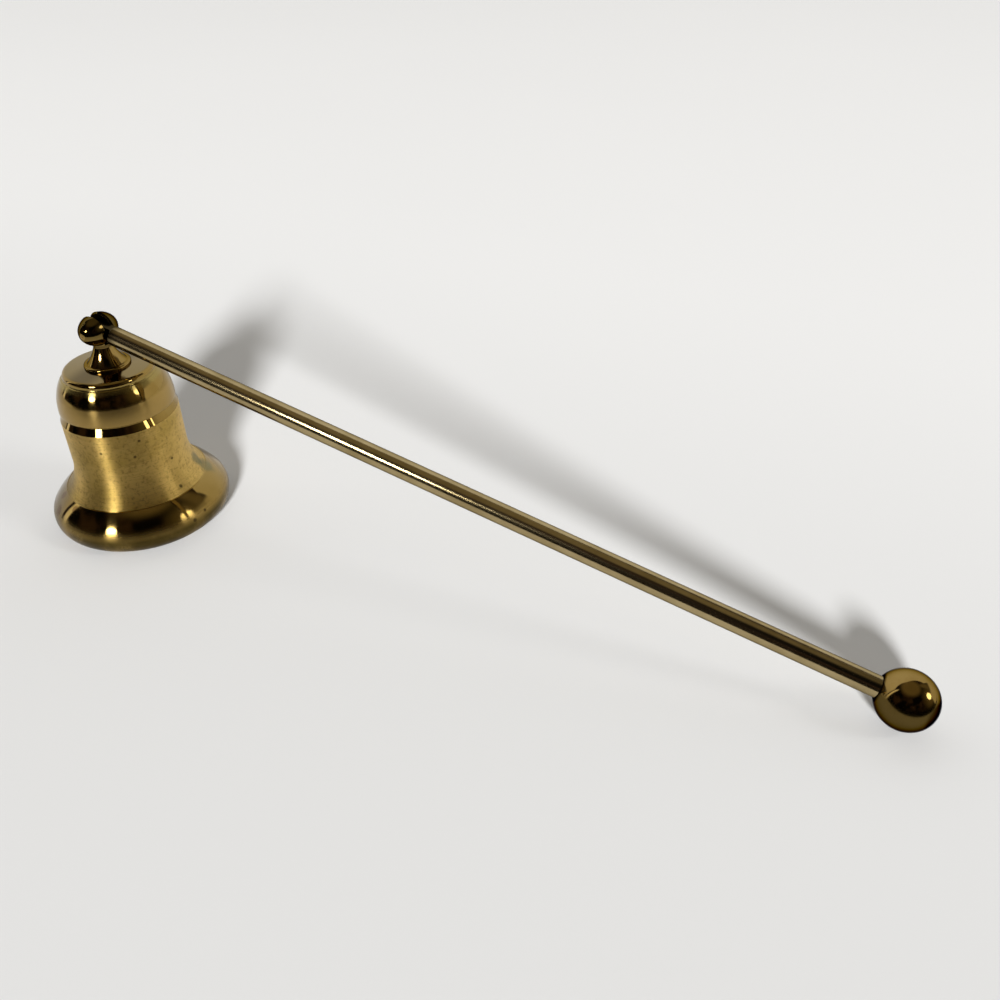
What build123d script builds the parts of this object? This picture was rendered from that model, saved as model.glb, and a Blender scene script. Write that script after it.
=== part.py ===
"""Brass candle snuffer: a turned bell, a slotted hinge post on its crown, and a swinging handle rod.

Millimetres. The origin is the centre of the bell's mouth, on the table that the bell stands on.
+Z is up, along the bell's axis, and +X points along the handle. The handle is drawn at rest, with
its end ball on the table.
"""
from build123d import *
import os
from math import acos, asin, cos, degrees, pi, radians, sin, tan

os.makedirs("parts", exist_ok=True)

# Bell, outside, from the table up
lip_radius = 22.5
bead_radius = 4.0
foot_width = 2.2
brow_radius = 4.8
brow_turn_angle = 35.5
flank_inset = 4.75
flank_height = 6.8
lip_ledge = 0.25
flare_height = 8.5
waist_radius = 14.25
waist_height = 11.35
groove_depth = 1.05
groove_flank_angle = 31.0
groove_height = 2.2
skirt_edge = 0.25
skirt_flare = 0.55
skirt_height = 4.3
shoulder_step = 0.8
shoulder_inset = 2.0
shoulder_height = 3.95
cove_radius = 0.45
tier_wall = 0.2
tier_edge = 1.1
tier_rise = 0.25

# Bell, inside
waist_wall = 2.0
shoulder_wall = 1.9
crown_wall = 3.15
vault_radius = 4.5
mouth_edge = 0.8

# Hinge post, screwed to the crown
collar_radius = 5.55
collar_thickness = 0.85
collar_edge = 0.5
collar_ledge = 0.9
neck_radius = 2.2
neck_height = 4.55
neck_flare_height = 4.1
neck_taper_angle = 20.0
root_depth = 0.9
knuckle_radius = 3.9
knuckle_half_length = 5.3
cheek_edge = 0.45
seat_clearance = 0.1
stud_radius = 2.0
stud_tip = 0.8
stud_chamfer = 0.4
washer_radius = 4.5
washer_thickness = 0.8
nut_sides = 6
nut_flats = 7.0
nut_height = 3.2
nut_chamfer = 0.5
thread_clearance = 0.02

# Hinge pin and handle
pin_radius = 0.8
pin_seat_clearance = 0.01
pin_running_clearance = 0.05
tongue_thickness = 2.0
tongue_side_clearance = 0.05
tongue_step = 0.375
tongue_floor_clearance = 0.2
shoulder_gap = 0.45
rod_radius = 2.375
rod_end_edge = 0.5
handle_reach = 199.0
handle_drop_angle = 27.0
ball_radius = 6.45
ball_face_radius = 2.75
spigot_radius = 1.6
spigot_length = 6.5
spigot_chamfer = 0.3
spigot_clearance = 0.02
spigot_end_gap = 0.5
bore_cone_angle = 59.0

overrun = 1.0

# Heights and radii that follow
flank_top = bead_radius + flank_height
waist_bottom = flank_top + flare_height
groove_bottom = waist_bottom + waist_height
groove_top = groove_bottom + groove_height
skirt_bottom = groove_top + skirt_edge
skirt_top = skirt_bottom + skirt_height
shoulder_top = skirt_top + shoulder_height
shoulder_radius = waist_radius - shoulder_step
tier_radius = shoulder_radius - shoulder_inset - cove_radius
tier_top = shoulder_top + cove_radius + tier_wall + tier_edge
crown_top = tier_top + tier_rise
crown_underside = crown_top - crown_wall
foot_radius = lip_radius - bead_radius
mouth_radius = foot_radius - foot_width
collar_top = crown_top + collar_thickness
hinge_height = collar_top + neck_height + knuckle_radius
handle_slope = asin((hinge_height - ball_radius) / handle_reach)


# Bell: outline of the wall, turned about the bell's axis
brow_turn = radians(brow_turn_angle)
brow_end = (
    lip_radius - brow_radius * (1 - cos(brow_turn)),
    bead_radius + brow_radius * sin(brow_turn),
)
flank_end = (lip_radius - flank_inset, flank_top)
flare_foot = (flank_end[0] - lip_ledge, flank_top)
groove_floor = (
    waist_radius - groove_depth,
    groove_bottom + groove_depth / tan(radians(groove_flank_angle)),
)
skirt_foot = (shoulder_radius + skirt_flare, skirt_bottom)
stud_hole_radius = stud_radius + seat_clearance
chamber_radius = waist_radius - waist_wall
vault_side = shoulder_radius - shoulder_wall

with BuildPart() as bell:
    with BuildSketch(Plane.XZ):
        with BuildLine():
            Line((mouth_radius, 0), (foot_radius, 0))
            TangentArc((foot_radius, 0), (lip_radius, bead_radius), tangent=(1, 0))
            brow = TangentArc((lip_radius, bead_radius), brow_end, tangent=(0, 1))
            TangentArc(brow_end, flank_end, tangent=brow % 1)
            Line(flank_end, flare_foot)
            TangentArc((waist_radius, waist_bottom), flare_foot, tangent=(0, -1))
            Polyline(
                (waist_radius, waist_bottom),
                (waist_radius, groove_bottom),
                groove_floor,
                (groove_floor[0], groove_top),
                (skirt_foot[0] - skirt_edge, groove_top),
            )
            TangentArc((skirt_foot[0] - skirt_edge, groove_top), skirt_foot, tangent=(1, 0))
            skirt = TangentArc(skirt_foot, (shoulder_radius, skirt_top), tangent=(0, 1))
            TangentArc(
                (shoulder_radius, skirt_top), (tier_radius + cove_radius, shoulder_top), tangent=skirt % 1
            )
            TangentArc(
                (tier_radius, shoulder_top + cove_radius),
                (tier_radius + cove_radius, shoulder_top),
                tangent=(0, -1),
            )
            Line((tier_radius, shoulder_top + cove_radius), (tier_radius, tier_top - tier_edge))
            TangentArc(
                (tier_radius, tier_top - tier_edge), (tier_radius - tier_edge, tier_top), tangent=(0, 1)
            )
            Polyline(
                (tier_radius - tier_edge, tier_top),
                (collar_radius, crown_top),
                (stud_hole_radius, crown_top),
                (stud_hole_radius, crown_underside),
                (vault_side - vault_radius, crown_underside),
            )
            TangentArc(
                (vault_side - vault_radius, crown_underside),
                (vault_side, crown_underside - vault_radius),
                tangent=(1, 0),
            )
            Line((vault_side, crown_underside - vault_radius), (chamber_radius, waist_bottom))
            TangentArc((chamber_radius, waist_bottom), (mouth_radius, 0), tangent=(0, -1))
        make_face()
    revolve(axis=Axis.Z)
    mouth_corner = bell.edges().filter_by(GeomType.CIRCLE).group_by(Axis.Z)[0].sort_by(SortBy.RADIUS)[0]
    fillet(mouth_corner, radius=mouth_edge)
bell.part.label = "bell"


# Hinge post: stud, collar and waisted neck turned in one, with a slotted knuckle on top
nut_top = crown_underside - washer_thickness
stud_bottom = nut_top - nut_height - stud_tip
neck_taper = radians(neck_taper_angle)
neck_waist = collar_top + neck_flare_height
root_top = hinge_height - knuckle_radius + root_depth
tongue_half_height = rod_radius - tongue_step
drop = radians(handle_drop_angle)
slot_depth = (tongue_half_height + tongue_floor_clearance + neck_radius * sin(drop)) / cos(drop)
slot_reach = knuckle_radius + overrun
slot_half_width = tongue_thickness / 2 + tongue_side_clearance
cheek_arc_angle = acos((slot_half_width + cheek_edge) / knuckle_half_length)
cheek_rim_radius = knuckle_radius * sin(cheek_arc_angle)
hinge_center = (0, 0, hinge_height)
hinge_plane = Plane(origin=hinge_center, x_dir=(1, 0, 0), z_dir=(0, -1, 0))
pin_plane = Plane(origin=hinge_center, x_dir=(0, 1, 0), z_dir=(1, 0, 0))
pin_axis = Axis(hinge_center, (0, 1, 0))

with BuildPart() as hinge_post:
    with BuildSketch(Plane.XZ):
        with BuildLine():
            Polyline(
                (0, root_top),
                (0, stud_bottom),
                (stud_radius - stud_chamfer, stud_bottom),
                (stud_radius, stud_bottom + stud_chamfer),
                (stud_radius, crown_top),
                (collar_radius, crown_top),
                (collar_radius, collar_top - collar_edge),
            )
            TangentArc(
                (collar_radius, collar_top - collar_edge),
                (collar_radius - collar_edge, collar_top),
                tangent=(0, 1),
            )
            Line((collar_radius - collar_edge, collar_top), (collar_radius - collar_ledge, collar_top))
            TangentArc(
                (neck_radius, neck_waist),
                (collar_radius - collar_ledge, collar_top),
                tangent=(sin(neck_taper), -cos(neck_taper)),
            )
            Polyline((neck_radius, neck_waist), (neck_radius, root_top), (0, root_top))
        make_face()
    revolve(axis=Axis.Z)
    with BuildSketch(pin_plane):
        with BuildLine():
            cheek_arc = EllipticalCenterArc(
                (0, 0), knuckle_half_length, knuckle_radius, arc_size=degrees(cheek_arc_angle)
            )
            Polyline(
                cheek_arc @ 1,
                (slot_half_width, cheek_rim_radius - cheek_edge),
                (0, cheek_rim_radius - cheek_edge),
                (0, 0),
                (knuckle_half_length, 0),
            )
        make_face()
        mirror(about=Plane.YZ)
    revolve(axis=pin_axis)
    with BuildSketch(hinge_plane):
        with Locations((0, -slot_depth)):
            Rectangle(
                2 * slot_reach, slot_depth + slot_reach, align=(Align.CENTER, Align.MIN)
            )
    extrude(amount=slot_half_width, both=True, mode=Mode.SUBTRACT)
    with BuildSketch(hinge_plane):
        Circle(pin_radius + pin_seat_clearance)
    extrude(amount=knuckle_half_length + overrun, both=True, mode=Mode.SUBTRACT)
hinge_post.part.label = "hinge_post"


# Washer and nut that hold the post inside the crown
with BuildPart() as post_washer:
    with BuildSketch(Plane.XY.offset(nut_top)):
        Circle(washer_radius)
        Circle(stud_radius + seat_clearance, mode=Mode.SUBTRACT)
    extrude(amount=washer_thickness)
post_washer.part.label = "post_washer"

nut_bottom = nut_top - nut_height
nut_corner = nut_flats / 2 / cos(pi / nut_sides)

with BuildPart() as post_nut:
    with BuildSketch(Plane.XY.offset(nut_bottom)):
        RegularPolygon(nut_flats / 2, nut_sides, major_radius=False)
        Circle(stud_radius + thread_clearance, mode=Mode.SUBTRACT)
    extrude(amount=nut_height)
    with BuildSketch(Plane.XZ):
        with BuildLine():
            Polyline(
                (nut_flats / 2, nut_bottom),
                (nut_corner, nut_bottom + nut_chamfer),
                (nut_corner, nut_bottom),
                close=True,
            )
        make_face()
    revolve(axis=Axis.Z, mode=Mode.SUBTRACT)
post_nut.part.label = "post_nut"


# Hinge pin: driven through both cheeks, its ends dressed flush with them
pin_shank_end = knuckle_half_length * (1 - (pin_radius / knuckle_radius) ** 2) ** 0.5

with BuildPart() as hinge_pin:
    with BuildSketch(pin_plane):
        with BuildLine():
            TangentArc((knuckle_half_length, 0), (pin_shank_end, pin_radius), tangent=(0, 1))
            Polyline((pin_shank_end, pin_radius), (0, pin_radius), (0, 0), (knuckle_half_length, 0))
        make_face()
        mirror(about=Plane.YZ)
    revolve(axis=pin_axis)
hinge_pin.part.label = "hinge_pin"


# Handle rod: a flat tongue with an eye, the round rod, and a spigot that screws into the ball
rod_direction = (cos(handle_slope), 0, -sin(handle_slope))
rod_side = Plane(origin=hinge_center, x_dir=rod_direction, z_dir=(0, -1, 0))
rod_axis = Axis(hinge_center, rod_direction)
rod_start = knuckle_radius + shoulder_gap
ball_face = (ball_radius**2 - ball_face_radius**2) ** 0.5
rod_end = handle_reach - ball_face
spigot_end = rod_end + spigot_length

with BuildPart() as handle_rod:
    with BuildSketch(rod_side):
        Circle(tongue_half_height)
        Rectangle(rod_start + overrun, 2 * tongue_half_height, align=(Align.MIN, Align.CENTER))
        Circle(pin_radius + pin_running_clearance, mode=Mode.SUBTRACT)
    extrude(amount=tongue_thickness / 2, both=True)
    with BuildSketch(rod_side):
        with BuildLine():
            Line((rod_start, 0), (rod_start, rod_radius - rod_end_edge))
            TangentArc(
                (rod_start, rod_radius - rod_end_edge),
                (rod_start + rod_end_edge, rod_radius),
                tangent=(0, 1),
            )
            Polyline(
                (rod_start + rod_end_edge, rod_radius),
                (rod_end, rod_radius),
                (rod_end, spigot_radius),
                (spigot_end - spigot_chamfer, spigot_radius),
                (spigot_end, spigot_radius - spigot_chamfer),
                (spigot_end, 0),
                (rod_start, 0),
            )
        make_face()
    revolve(axis=rod_axis)
handle_rod.part.label = "handle_rod"


# End ball: faced flat where the rod's shoulder meets it, and bored for the spigot
bore_radius = spigot_radius + spigot_clearance
bore_end = spigot_end + spigot_end_gap
bore_tip = bore_end + bore_radius / tan(radians(bore_cone_angle))

with BuildPart() as end_ball:
    with BuildSketch(rod_side):
        with BuildLine():
            ThreePointArc(
                (rod_end, ball_face_radius), (handle_reach, ball_radius), (handle_reach + ball_radius, 0)
            )
            Polyline(
                (handle_reach + ball_radius, 0),
                (bore_tip, 0),
                (bore_end, bore_radius),
                (rod_end, bore_radius),
                (rod_end, ball_face_radius),
            )
        make_face()
    revolve(axis=rod_axis)
end_ball.part.label = "end_ball"


for piece in (bell, hinge_post, post_washer, post_nut, hinge_pin, handle_rod, end_ball):
    export_step(piece.part, f"parts/{piece.part.label}.step")

print(f"hinge height {hinge_height:.3f}, handle slope {degrees(handle_slope):.3f} deg")
print(f"crown top {crown_top:.3f}, crown underside {crown_underside:.3f}, slot depth {slot_depth:.3f}")
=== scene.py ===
"""Looks of the brass candle snuffer: finishes, pale floor and studio light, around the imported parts.

Everything is in metres, in the parts' own frame: the origin is the middle of the bell's mouth, on the
table, +Z is up along the bell and +X points along the handle.
"""
import math

import bpy
from mathutils import Matrix, Vector

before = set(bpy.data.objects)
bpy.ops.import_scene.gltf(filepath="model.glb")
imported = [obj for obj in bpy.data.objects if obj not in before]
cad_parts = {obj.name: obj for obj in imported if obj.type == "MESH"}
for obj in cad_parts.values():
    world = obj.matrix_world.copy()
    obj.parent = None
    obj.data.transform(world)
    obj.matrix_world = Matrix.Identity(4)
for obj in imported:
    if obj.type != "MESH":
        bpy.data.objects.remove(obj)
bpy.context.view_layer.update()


# Camera
# Its place, its turn and its lens were fitted to the outline of the bell, the rod and the ball, with the
# bell and the ball standing on the table. The shift is the photograph's own small crop.
mm = 0.001
scene = bpy.context.scene
scene.view_settings.view_transform = "Standard"

camera_place = Vector((169.55, -150.57, 148.45)) * mm
camera_yaw = math.radians(-23.6247)
camera_pitch = math.radians(35.2783)
camera_roll = math.radians(-0.445)
sensor_width = 36.0
lens_in_widths = 0.93007
crop_shift = 0.005
nearest_seen = 0.01

ahead = Vector((
    math.sin(camera_yaw) * math.cos(camera_pitch),
    math.cos(camera_yaw) * math.cos(camera_pitch),
    -math.sin(camera_pitch),
))
level_right = Vector((math.cos(camera_yaw), -math.sin(camera_yaw), 0))
level_up = level_right.cross(ahead)
camera_right = math.cos(camera_roll) * level_right + math.sin(camera_roll) * level_up
camera_up = math.cos(camera_roll) * level_up - math.sin(camera_roll) * level_right

camera_data = bpy.data.cameras.new("camera")
camera_data.sensor_width = sensor_width
camera_data.lens = lens_in_widths * sensor_width
camera_data.shift_x = crop_shift
camera_data.shift_y = -crop_shift
camera_data.clip_start = nearest_seen
camera = bpy.data.objects.new("camera", camera_data)
scene.collection.objects.link(camera)
camera.matrix_world = Matrix.Translation(camera_place) @ Matrix(
    (camera_right, camera_up, -ahead)
).transposed().to_4x4()
scene.camera = camera


# Studio
# A pale sweep stands behind the snuffer. The room in front of it is dark, with a few lit parts and two
# soft lamps in it, and a third lamp that only casts the shadow. Polished brass mirrors all of it, so the
# room is drawn by direction in the world's own nodes.
class Wire:
    """One output socket of a node, which can be added, multiplied and so on like a number."""

    def __init__(self, paint, socket):
        self.paint = paint
        self.socket = socket

    def work(self, operation, *values):
        return self.paint.node("ShaderNodeMath", {"operation": operation}, dict(enumerate(values)))

    def __add__(self, other):
        return self.work("ADD", self, other)

    def __sub__(self, other):
        return self.work("SUBTRACT", self, other)

    def __rsub__(self, other):
        return self.work("SUBTRACT", other, self)

    def __mul__(self, other):
        return self.work("MULTIPLY", self, other)

    def __truediv__(self, other):
        return self.work("DIVIDE", self, other)

    def __pow__(self, other):
        return self.work("POWER", self, other)

    __radd__ = __add__

    def rise(self, low, high):
        """0 below low, 1 above high and smooth between. It falls instead where low is above high."""
        values = {"Value": self, "From Min": low, "From Max": high}
        return self.paint.node("ShaderNodeMapRange", {"interpolation_type": "SMOOTHSTEP"}, values)

    def between(self, low, high, soft):
        """1 from low to high, with soft ends."""
        return self.rise(low - soft, low + soft) * self.rise(high + soft, high - soft)


class Paint:
    """The node tree of a material or of the world, emptied and built up again."""

    def __init__(self, owner):
        owner.use_nodes = True
        self.tree = owner.node_tree
        self.tree.nodes.clear()

    def node(self, kind, settings=None, values=None, output=0):
        made = self.tree.nodes.new(kind)
        for name, setting in (settings or {}).items():
            setattr(made, name, setting)
        for name, value in (values or {}).items():
            if isinstance(value, Wire):
                self.tree.links.new(value.socket, made.inputs[name])
            else:
                made.inputs[name].default_value = value
        return Wire(self, made.outputs[output]) if made.outputs else None

    def blend(self, factor, first, second):
        """A colour that goes from first to second as factor goes from 0 to 1."""
        values = {0: factor, 6: as_color(first), 7: as_color(second)}
        return self.node("ShaderNodeMix", {"data_type": "RGBA"}, values, 2)

    def parts(self, vector):
        """The x, y and z of a vector."""
        made = self.node("ShaderNodeSeparateXYZ", None, {0: vector}).socket.node
        return [Wire(self, socket) for socket in made.outputs]

    def vector(self, x, y, z):
        return self.node("ShaderNodeCombineXYZ", None, {0: x, 1: y, 2: z})

    def noise(self, vector, scale, detail, roughness=0.5):
        values = {"Vector": vector, "Scale": scale, "Detail": detail, "Roughness": roughness}
        return self.node("ShaderNodeTexNoise", None, values, "Fac")

    def away(self, place, point):
        """How far the shaded place is from a point given in millimetres, in millimetres."""
        values = {0: place, 1: Vector(point) * mm}
        return self.node("ShaderNodeVectorMath", {"operation": "DISTANCE"}, values, "Value") / mm


def as_color(value):
    """A colour socket takes four numbers, and a wire goes in as it is."""
    return value if isinstance(value, Wire) else (*value, 1.0)


world = bpy.data.worlds.new("studio")
scene.world = world
room = Paint(world)
look = room.node("ShaderNodeTexCoord", output="Generated")
look_x, look_y, look_z = room.parts(look)
degrees_each = math.degrees(1)
heading = look_x.work("ARCTAN2", look_x, look_y) * degrees_each
height = look_z.work("ARCSINE", look_z) * degrees_each

sweep_middle = -30.0
sweep_half_width = 69.0
sweep_top = 66.0
sweep_round = 0.0055
sweep_side_edge = 1.0
sweep_top_edge = 2.0
across = heading - sweep_middle
sweep_height = sweep_top - across * across * sweep_round
sweep = across.between(-sweep_half_width, sweep_half_width, sweep_side_edge)
sweep = sweep * (sweep_height - height).rise(-sweep_top_edge, sweep_top_edge)

patch_scale = 2.3
patch = room.noise(look, patch_scale, 3.0).rise(0.46, 0.66)
unlit_tones = ((0.004, 0.004, 0.005), (0.050, 0.032, 0.026))
ceiling = height.rise(52, 70)
ceiling_tone = (0.24, 0.20, 0.12)
mirrored = room.blend(patch, *unlit_tones)
mirrored = room.blend(ceiling, mirrored, ceiling_tone)

# Each lit part of the room: its headings, how soft they end, its heights, how soft they end, all in
# degrees, then how much of it shows, and its colour.
lit_parts = {
    "glow round the side lamp": ((58, 105), 18, (8, 48), 16, 0.8, (0.26, 0.22, 0.13)),
    "dim upper side wall": ((42, 60), 6, (26, 60), 10, 1.0, (0.22, 0.19, 0.13)),
    "bright lower side wall": ((36, 78), 2, (-100, 26), 4, 1.0, (0.90, 0.88, 0.82)),
    "white strip on the left": ((-109, -103), 0.8, (-20, 50), 6, 1.0, (1.5, 1.5, 1.45)),
}
for headings, heading_edge, heights, height_edge, share, lit_tone in lit_parts.values():
    lit = heading.between(*headings, heading_edge) * height.between(*heights, height_edge)
    mirrored = room.blend(lit * share, mirrored, lit_tone)

sweep_tone = (0.62, 0.62, 0.62)
backdrop_tone = (0.93, 0.93, 0.92)
path = room.node("ShaderNodeLightPath").socket.node
seen = Wire(room, path.outputs["Is Camera Ray"])
mirror_ray = Wire(room, path.outputs["Is Glossy Ray"]) + Wire(room, path.outputs["Is Transmission Ray"])
backdrop = room.node("ShaderNodeBackground", None, {"Color": as_color(backdrop_tone), "Strength": 1.0})
studio_tone = room.blend(sweep, mirrored, sweep_tone)
studio = room.node("ShaderNodeBackground", None, {"Color": studio_tone, "Strength": 1.0})
shown = room.node("ShaderNodeMixShader", None, {0: seen + mirror_ray * sweep, 1: studio, 2: backdrop})
room.node("ShaderNodeOutputWorld", None, {"Surface": shown})

lamp_aim = Vector((0, 0, 30)) * mm


def soft_lamp(name, azimuth, elevation, distance, spread, radiance):
    """A round soft lamp that faces the bell. Angles are in degrees, and a radiance of 1 looks white."""
    turn = math.radians(azimuth)
    rise = math.radians(elevation)
    width = 2 * distance * math.tan(math.radians(spread / 2))
    area = math.pi * width * width / 4
    toward = Vector((math.sin(turn) * math.cos(rise), math.cos(turn) * math.cos(rise), math.sin(rise)))
    data = bpy.data.lights.new(name, "AREA")
    data.shape = "DISK"
    data.size = width
    data.energy = radiance * math.pi * area
    lamp = bpy.data.objects.new(name, data)
    scene.collection.objects.link(lamp)
    lamp.location = toward * distance + lamp_aim
    lamp.rotation_mode = "QUATERNION"
    lamp.rotation_quaternion = toward.to_track_quat("Z", "Y")
    return lamp


front_lamp = soft_lamp(
    "front_lamp", azimuth=-173.0, elevation=30.0, distance=0.55, spread=12.0, radiance=36.0
)
soft_lamp("side_lamp", azimuth=82.0, elevation=30.0, distance=15.0, spread=17.0, radiance=7.0)
key_lamp = soft_lamp("key_lamp", azimuth=158.0, elevation=22.0, distance=20.0, spread=9.5, radiance=245.0)
key_lamp.visible_glossy = False


# Floor
# A matt pale board, a little uneven in tone, with painted shade and light that make it a little darker in
# front and paler far back. Past its front edge, out of the picture, lies the dark end of the table, which
# shows only in the polished brass.
floor_size = 6.0
near_shade_tones = ((0.76, 0.765, 0.77), (0.79, 0.795, 0.80))
far_light_tones = ((0.87, 0.875, 0.88), (0.90, 0.905, 0.91))
near_end = -0.09
far_end = 0.22
bpy.ops.object.select_all(action="DESELECT")
bpy.ops.mesh.primitive_plane_add(size=floor_size, location=(0, 0, 0))
floor = bpy.context.object
floor.name = "floor"
pale_board = bpy.data.materials.new("pale_board")
board = Paint(pale_board)
board_place = board.node("ShaderNodeTexCoord", output="Object")
board_mottle = board.noise(board_place, 2.0, 3.0)
board_y = board.parts(board_place)[1]
board_near_shade = board.blend(board_mottle, *near_shade_tones)
board_far_light = board.blend(board_mottle, *far_light_tones)
board_tone = board.blend(board_y.rise(near_end, far_end), board_near_shade, board_far_light)
board_skin = board.node("ShaderNodeBsdfDiffuse", None, {"Color": board_tone})
board.node("ShaderNodeOutputMaterial", None, {"Surface": board_skin})
floor.data.materials.append(pale_board)

# The front lamp is a narrow one that lights the bell and the handle, and neither the board nor the ball.
outside_beam = bpy.data.collections.new("outside_front_beam")
outside_beam.objects.link(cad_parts["end_ball"])
outside_beam.objects.link(floor)
front_lamp.light_linking.receiver_collection = outside_beam
for member in outside_beam.collection_objects:
    member.light_linking.link_state = "EXCLUDE"

edge_corner = Vector((212.0, -38.0, 0.1)) * mm
edge_turn = math.radians(35.0)
table_size = 4.0
table_tone = (0.012, 0.010, 0.008)
table_middle = edge_corner + Vector((math.sin(edge_turn), -math.cos(edge_turn), 0)) * table_size / 2
bpy.ops.object.select_all(action="DESELECT")
bpy.ops.mesh.primitive_plane_add(size=table_size, location=table_middle, rotation=(0, 0, edge_turn))
dark_table = bpy.context.object
dark_table.name = "dark_table"
dark_wood = bpy.data.materials.new("dark_wood")
wood = Paint(dark_wood)
wood_skin = wood.node("ShaderNodeEmission", None, {"Color": as_color(table_tone), "Strength": 1.0})
wood.node("ShaderNodeOutputMaterial", None, {"Surface": wood_skin})
dark_table.data.materials.append(dark_wood)
dark_table.visible_camera = False
dark_table.visible_diffuse = False
dark_table.visible_shadow = False


# Bell
# One brass casting, turned on a lathe. The lip, the groove and all above the groove are polished, and
# the waist and flare are left satin from the tool, with fine rings round the bell, specks and dark marks.
# Shade is painted low on the lip, on the flare's side away from the handle and across the crown.
def brass_paint(name):
    """A new material, its paint, and the place on the piece that is being shaded."""
    material = bpy.data.materials.new(name)
    paint = Paint(material)
    return material, paint, paint.node("ShaderNodeTexCoord", output="Object")


def mottled(paint, cloud, first, second):
    """Brass that has darkened unevenly, between two tones."""
    return paint.blend(cloud.rise(0.35, 0.7), first, second)


def bare_brass(material, paint, tone, roughness, pieces, more=None):
    """Finish a material as bare brass of this tone and roughness, and give it to the named pieces."""
    values = {"Base Color": tone, "Metallic": 1.0, "Roughness": roughness, **(more or {})}
    metal = paint.node("ShaderNodeBsdfPrincipled", None, values)
    paint.node("ShaderNodeOutputMaterial", None, {"Surface": metal})
    for name in pieces:
        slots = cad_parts[name].data.materials
        slots.clear()
        slots.append(material)


bell_brass, skin, place = brass_paint("bell_brass")
px, py, pz = skin.parts(place)
radius = (px * px + py * py) ** 0.5
high = pz / mm
out = radius / mm

# Fine lathe rings: the pattern changes fast up and out along the profile, and slowly round the bell.
rings_round = 2.0
rings_up = 6000
rings_out = 3000
ring_x = px / radius * rings_round
ring_y = py / radius * rings_round
ring_place = skin.vector(ring_x, ring_y, pz * rings_up + radius * rings_out)
rings = skin.noise(ring_place, 1.0, 3.0, 0.7)
cloud = skin.noise(place, 90.0, 4.0, 0.6)
blotch = skin.noise(place, 420.0, 4.0, 0.7)
grain = skin.noise(place, 1300.0, 2.0, 0.6)

# The zones of the profile, by height and radius in millimetres.
lip_top = 10.85
groove_foot = 30.65
shoulder_foot = 33.2
shoulder_top = 37.6
brow_foot = 40.4
brow_top = 41.9
crown_foot = 42.4
crown_flat = 43.0
crown_rim = 10.6
crown_full = 9.9
cut_edge = 0.12
round_edge = 0.5
satin = high.between(lip_top, groove_foot, cut_edge)
shoulder = high.between(shoulder_foot, shoulder_top, round_edge)
brow = high.between(brow_foot, brow_top, round_edge)
crown = high.rise(crown_foot, crown_flat) * out.rise(crown_rim, crown_full)

# Painted shade low on the lip, for the shadowed floor it mirrors near the table, and wear that roughens
# the lip. Each fades between two heights in millimetres, unevenly.
low_lip_shade = high.rise(6.2, 4.2) * cloud.rise(0.25, 0.6)
worn_lip = (high + cloud * 1.5).rise(8.8, 6.8)

satin_tones = ((0.64, 0.435, 0.130), (0.52, 0.355, 0.090))
ring_tone = (0.26, 0.16, 0.035)
blotch_tone = (0.36, 0.24, 0.065)
grain_tone = (0.18, 0.115, 0.03)
satin_tone = mottled(skin, cloud, *satin_tones)
satin_tone = skin.blend(rings.rise(0.45, 0.75) * 0.4, satin_tone, ring_tone)
satin_tone = skin.blend(blotch.rise(0.50, 0.72) * 0.55, satin_tone, blotch_tone)
satin_tone = skin.blend(grain.rise(0.48, 0.74) * 0.5, satin_tone, grain_tone)

polished_tones = ((0.30, 0.20, 0.058), (0.26, 0.168, 0.044))
shoulder_tone = (0.36, 0.24, 0.075)
low_lip_shade_tone = (0.05, 0.036, 0.008)
tone = mottled(skin, cloud, *polished_tones)
tone = skin.blend(shoulder, tone, shoulder_tone)
tone = skin.blend(satin, tone, satin_tone)
tone = skin.blend(low_lip_shade * 0.85, tone, low_lip_shade_tone)

# Dark pits, each with its place and its radius in millimetres.
pits = (
    ((11.98, -7.70, 28.21), 0.35),
    ((4.62, -13.48, 26.01), 0.35),
    ((10.87, -9.20, 24.16), 0.35),
    ((16.21, -2.04, 12.32), 0.45),
    ((14.22, -0.82, 19.69), 0.35),
    ((21.64, -5.42, 5.28), 0.5),
    ((22.00, -1.59, 5.99), 0.4),
)
pit_tone = (0.035, 0.022, 0.008)
pit_edge = 0.3
for pit_place, pit_size in pits:
    pit = (skin.away(place, pit_place) + grain * pit_edge).rise(pit_size + pit_edge, pit_size)
    tone = skin.blend(pit * 0.8, tone, pit_tone)

# Painted shade: the flare is darker on the side away from the handle.
flare_side_shade = (px / mm).rise(-5.0, -11.0) * high.rise(18.0, 14.0)
flare_side_shade_tone = (0.13, 0.092, 0.038)
tone = skin.blend(flare_side_shade * 0.7, tone, flare_side_shade_tone)

# Dark marks, each with its place and size in millimetres and its tone: brown ones on the lip, olive ones
# on the flare.
brown_mark_tone = (0.10, 0.045, 0.010)
olive_mark_tone = (0.15, 0.14, 0.06)
mark_spread = 1.6
dark_marks = (
    ((-11.27, -17.83, 7.47), 1.6, brown_mark_tone),
    ((-4.56, -18.40, 9.77), 1.2, brown_mark_tone),
    ((-11.88, -14.56, 9.92), 1.4, brown_mark_tone),
    ((14.19, 10.00, 10.96), 3.0, olive_mark_tone),
    ((12.93, 8.64, 13.70), 2.5, olive_mark_tone),
)
for mark_place, mark_size, mark_tone in dark_marks:
    edge = skin.away(place, mark_place) + blotch * mark_size
    mark_mask = edge.rise(mark_size * mark_spread, mark_size)
    tone = skin.blend(mark_mask * 0.7, tone, mark_tone)

# The crown is painted darkest in a band across its middle, through the post, as the post's shade and
# reflection on it, and the brow below it is worn pale.
crown_shade_band = (px / mm).between(-3.5, 3.5, 2.5)
crown_shade_tones = ((0.20, 0.145, 0.050), (0.070, 0.048, 0.012))
brow_tone = (0.32, 0.25, 0.080)
tone = skin.blend(crown * 0.8, tone, skin.blend(crown_shade_band, *crown_shade_tones))
tone = skin.blend(brow * 0.6, tone, brow_tone)

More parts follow.
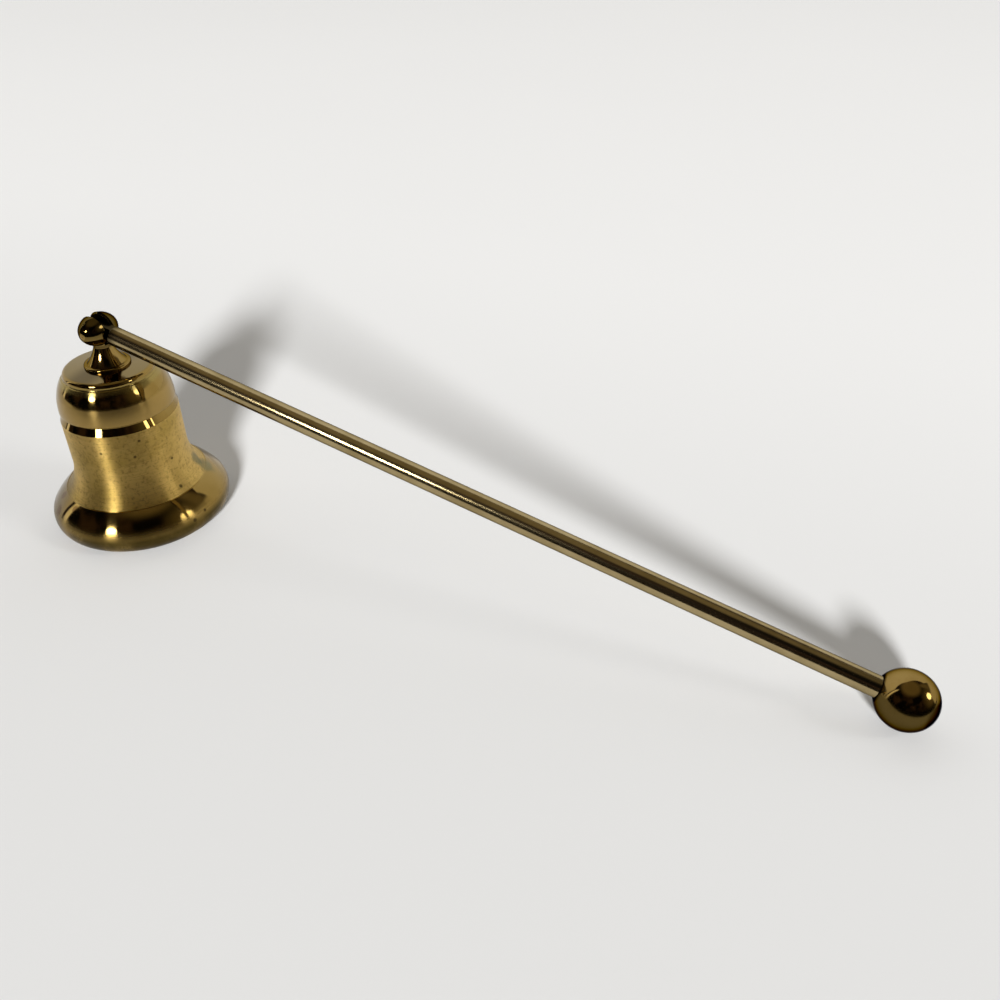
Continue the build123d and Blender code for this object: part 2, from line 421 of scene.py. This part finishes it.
polish = 0.06
rough = polish + satin * 0.36 + shoulder * 0.18 + cloud * 0.03 + rings * satin * 0.06
rough = rough + worn_lip * 0.20 + brow * 0.16
ring_depth = {"Strength": 0.10, "Distance": 0.02 * mm, "Height": rings * satin}
bump = skin.node("ShaderNodeBump", None, ring_depth, "Normal")
round_the_bell = {"Anisotropic": 0.97, "Anisotropic Rotation": 0.25, "Normal": bump}
bare_brass(bell_brass, skin, tone, rough, ("bell",), round_the_bell)


# Hinge post
# Turned brass, polished, with painted shade in its slot, in the corner under the knuckle and over the top
# of the knuckle. Its edges are tarnished.
post_brass, skin, place = brass_paint("post_brass")
py, pz = skin.parts(place)[1:]
cloud = skin.noise(place, 160.0, 4.0, 0.6)
slot_wall = 1.06 * mm
slot_spill = 1.1
slot_floor = 49.0 * mm
slot_edge = 0.1 * mm
neck_top = 48.2 * mm
knuckle_foot = 49.2 * mm
corner_edge = 0.4 * mm
# Painted shade: dark in the slot, in the corner under the knuckle and over the knuckle's top.
above_floor = pz.rise(slot_floor - slot_edge, slot_floor + slot_edge)
in_slot = py.work("ABSOLUTE", py).rise(slot_wall * slot_spill, slot_wall) * above_floor
corner = pz.between(neck_top, knuckle_foot, corner_edge)
slot_and_corner_shade = in_slot.work("MAXIMUM", in_slot, corner * 0.6)
knuckle_top_shade = (pz / mm).rise(50.0, 53.5)
post_tones = ((0.30, 0.20, 0.062), (0.24, 0.155, 0.045))
knuckle_top_shade_tone = (0.060, 0.042, 0.012)
slot_shade_tone = (0.010, 0.007, 0.004)
dim_edges = {"Specular Tint": (0.25, 0.27, 0.32, 1.0)}
tone = mottled(skin, cloud, *post_tones)
tone = skin.blend(knuckle_top_shade * 0.75, tone, knuckle_top_shade_tone)
tone = skin.blend(slot_and_corner_shade, tone, slot_shade_tone)
rough = 0.07 + cloud * 0.04 + in_slot * 0.4
bare_brass(post_brass, skin, tone, rough, ("hinge_post",), dim_edges)


# Handle rod
# Drawn brass rod with fine lines along its length. The tongue is painted dark as shade where it sits in
# the slot.
rod_brass, skin, place = brass_paint("rod_brass")
px, py, pz = skin.parts(place)
cloud = skin.noise(place, 120.0, 4.0, 0.6)
lines_along = 12.0
lines_across = 2500.0
rod_slope = 596.7
line_place = skin.vector(px * lines_along, py * lines_across, pz * lines_across + px * rod_slope)
draw_lines = skin.noise(line_place, 1.0, 3.0, 0.6)
# Painted shade on the tongue, where it sits in the slot.
tongue_root = 7.5
tongue_middle = 4.2
tongue = (px / mm).rise(tongue_root, tongue_middle)
rod_tones = ((0.44, 0.345, 0.18), (0.34, 0.26, 0.125))
line_tone = (0.24, 0.17, 0.06)
tongue_shade_tone = (0.012, 0.008, 0.004)
tone = mottled(skin, cloud, *rod_tones)
tone = skin.blend(draw_lines.rise(0.55, 0.8) * 0.4, tone, line_tone)
tone = skin.blend(tongue * 0.9, tone, tongue_shade_tone)
rough = 0.12 + cloud * 0.05 + draw_lines * 0.05
bare_brass(rod_brass, skin, tone, rough, ("handle_rod",), dim_edges)


# End ball
# Turned brass, polished. Its lower half and the joint round the rod are painted dark as shade, and it is
# darker at its far end.
ball_brass, skin, place = brass_paint("ball_brass")
pz = skin.parts(place)[2]
cloud = skin.noise(place, 150.0, 4.0, 0.6)
far_end_place = (199.8, -2.6, 6.5)
joint_place = (187.8, 0.0, 7.8)
# Painted shade over the lower half and in the joint round the rod, and a darker far end.
ball_low_shade = (pz / mm + cloud * 4.0).rise(13.0, 11.0)
far_end_dark = (skin.away(place, far_end_place) + cloud * 1.5).rise(4.8, 3.6)
joint_shade = skin.away(place, joint_place).rise(3.4, 2.7)
ball_tones = ((0.30, 0.20, 0.062), (0.25, 0.16, 0.045))
ball_low_shade_tone = (0.050, 0.034, 0.009)
end_tone = (0.040, 0.022, 0.008)
joint_shade_tone = (0.012, 0.008, 0.004)
tone = mottled(skin, cloud, *ball_tones)
tone = skin.blend(ball_low_shade * 0.75, tone, ball_low_shade_tone)
tone = skin.blend(far_end_dark * 0.85, tone, end_tone)
tone = skin.blend(joint_shade * 0.85, tone, joint_shade_tone)
rough = 0.06 + cloud * 0.05 + ball_low_shade * 0.08
bare_brass(ball_brass, skin, tone, rough, ("end_ball",), dim_edges)


# Pin, washer and nut
# The pin is brass wire, and the washer and the nut inside the crown are plain dull brass.
inner_brass, skin, place = brass_paint("inner_brass")
cloud = skin.noise(place, 300.0, 4.0, 0.6)
inner_tones = ((0.30, 0.20, 0.062), (0.20, 0.125, 0.035))
tone = mottled(skin, cloud, *inner_tones)
bare_brass(inner_brass, skin, tone, 0.22 + cloud * 0.12, ("hinge_pin", "post_washer", "post_nut"))
